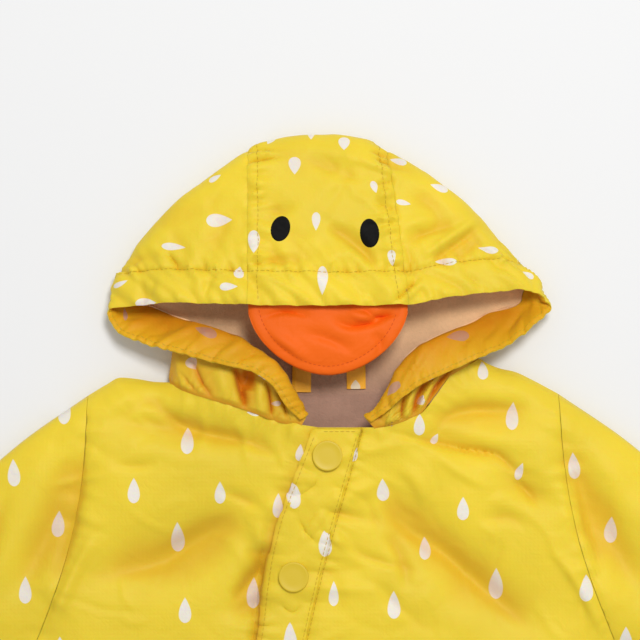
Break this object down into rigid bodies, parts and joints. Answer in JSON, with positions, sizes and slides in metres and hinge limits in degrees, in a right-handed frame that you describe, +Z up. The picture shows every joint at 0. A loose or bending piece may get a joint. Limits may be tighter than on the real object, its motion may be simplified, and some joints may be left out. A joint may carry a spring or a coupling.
{
  "type": "puddle suit",
  "caption": "Baby's one-piece hooded rain suit laid flat on its back, with a lined duck hood, a half-round bill, a snap flap, sleeves and legs.",
  "frame": {"origin": "a point on the flat underside of the back panel, on the middle line just below the back neck seam", "axes": "+X to the viewer's right, +Y along the suit's length towards the crown of the hood, +Z up out of the floor that the suit lies on, through its front"},
  "size_m": [0.6064, 0.7645, 0.0365],
  "materials": {
    "cloth": "coated plain weave polyester, soft sheen, printed with white raindrops",
    "lining": "brushed polyester fleece, matt",
    "snap": "moulded acetal press stud, satin",
    "bill_cloth": "plain weave polyester, soft sheen",
    "eye_cloth": "heat-pressed flock patch, matt"
  },
  "bodies": {
    "root": {"front_left": "cloth", "front_right": "cloth", "back": "cloth", "sleeve_left": "cloth", "sleeve_right": "cloth", "hood_centre": "cloth", "hood_side_left": "cloth", "hood_side_right": "cloth", "hem_facing": "cloth", "hood_lining": "lining", "back_neck_lining": "lining", "hanger_loop": "cloth", "storm_flap": "cloth", "bill": "bill_cloth", "eye_left": "eye_cloth", "eye_right": "eye_cloth", "snap_1": "snap", "snap_2": "snap", "snap_3": "snap", "snap_4": "snap", "snap_5": "snap", "snap_6": "snap", "snap_7": "snap"}
  },
  "joints": []
}
